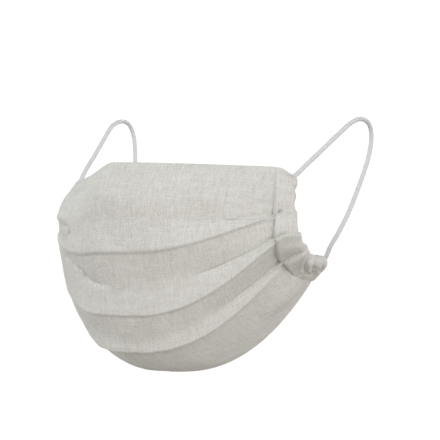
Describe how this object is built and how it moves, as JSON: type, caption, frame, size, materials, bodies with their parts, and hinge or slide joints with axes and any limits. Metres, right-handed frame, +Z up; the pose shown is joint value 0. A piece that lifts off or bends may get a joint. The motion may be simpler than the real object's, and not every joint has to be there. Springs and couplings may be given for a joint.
{
  "type": "pleated face mask",
  "caption": "Worn pleated linen face mask: a hollow cloth shell over nose and chin, with gathered side casings and elastic ear loops.",
  "frame": {"origin": "the nose seat: the middle of the mask's top edge, where it rests on the bridge of the nose", "axes": "+Z up, the mask faces -Y as worn, +X towards the wearer's left"},
  "size_m": [0.1703, 0.1374, 0.1437],
  "materials": {
    "linen": "unbleached plain-weave linen, matt, with slubs",
    "elastic": "round white knitted elastic"
  },
  "bodies": {
    "root": {"pleated_body": "linen", "casing_left": "linen", "casing_right": "linen", "ear_loop_left": "elastic", "ear_loop_right": "elastic"}
  },
  "joints": []
}
